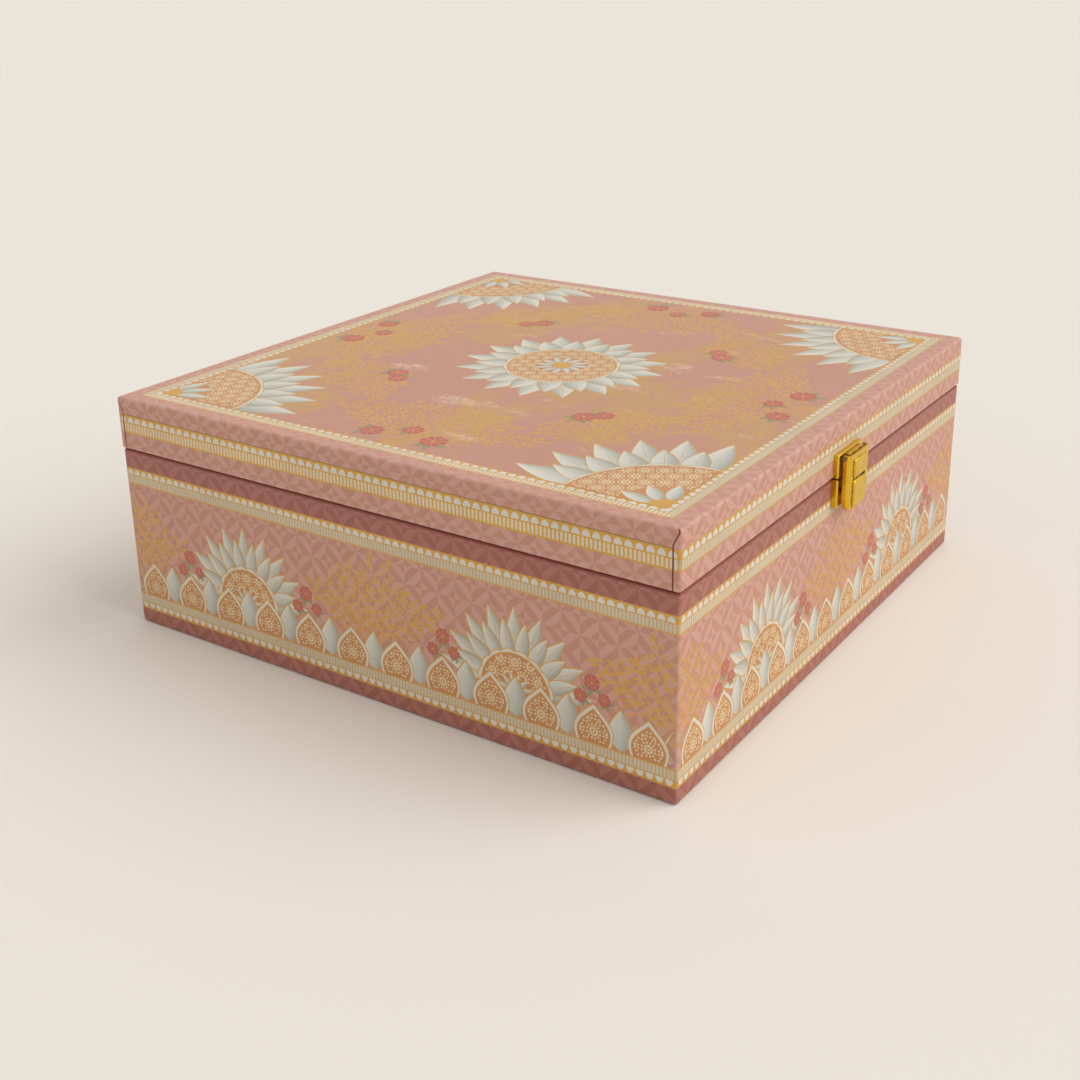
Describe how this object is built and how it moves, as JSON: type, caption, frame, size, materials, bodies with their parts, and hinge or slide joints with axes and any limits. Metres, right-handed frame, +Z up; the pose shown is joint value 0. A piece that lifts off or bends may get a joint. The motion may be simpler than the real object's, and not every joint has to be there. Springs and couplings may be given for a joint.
{
  "type": "sweet box",
  "caption": "Square rigid sweet box with a hinged lid, printed paper covering, lined inside, a slip-in divider and a metal flap latch.",
  "frame": {"origin": "centre of the flat face under the base, which rests on the table", "axes": "+Z up to the lid, -Y towards the latch at the front, +X to the right seen from the front"},
  "size_m": [0.254, 0.2671, 0.098],
  "materials": {
    "fibreboard": "medium-density fibreboard, raw, hidden under the paper",
    "base_printed_paper": "matt printed paper, pink and maroon with gold borders",
    "lid_printed_paper": "matt printed paper, pink with gold borders",
    "lining_paper": "matt cream paper",
    "bottom_paper": "matt maroon paper",
    "divider_board": "paper-covered board",
    "gold_plated_sheet": "bright gold plating on stamped sheet",
    "gold_plated_pin": "bright gold plating on pins and nails"
  },
  "bodies": {
    "base": {"base_floor_board": "fibreboard", "base_front_board": "fibreboard", "base_back_board": "fibreboard", "base_left_board": "fibreboard", "base_right_board": "fibreboard", "base_wrap": "base_printed_paper", "base_wall_lining": "lining_paper", "base_floor_lining": "lining_paper", "base_bottom_sheet": "bottom_paper", "divider_across": "divider_board", "divider_along": "divider_board", "hinge_left_base_leaf": "gold_plated_sheet", "hinge_right_base_leaf": "gold_plated_sheet", "hinge_left_pin": "gold_plated_pin", "hinge_right_pin": "gold_plated_pin", "hinge_base_nails": "gold_plated_pin", "latch_base_plate": "gold_plated_sheet", "latch_base_nails": "gold_plated_pin"},
    "lid": {"lid_top_board": "fibreboard", "lid_front_board": "fibreboard", "lid_back_board": "fibreboard", "lid_left_board": "fibreboard", "lid_right_board": "fibreboard", "lid_wrap": "lid_printed_paper", "lid_wall_lining": "lining_paper", "lid_top_lining": "lining_paper", "hinge_left_lid_leaf": "gold_plated_sheet", "hinge_right_lid_leaf": "gold_plated_sheet", "hinge_lid_nails": "gold_plated_pin", "latch_lid_plate": "gold_plated_sheet", "latch_lid_nails": "gold_plated_pin", "latch_pin": "gold_plated_pin"},
    "flap": {"latch_flap": "gold_plated_sheet"}
  },
  "joints": [
    {"name": "lid_hinge", "type": "hinge", "parent": "base", "child": "lid", "pos_m": [0, 0.129, 0.07635], "axis": [-1, 0, 0], "range_deg": [0, 105]},
    {"name": "flap_hinge", "type": "hinge", "parent": "lid", "child": "flap", "pos_m": [0, -0.1306, 0.0846], "axis": [-1, 0, 0], "range_deg": [0, 100]}
  ]
}
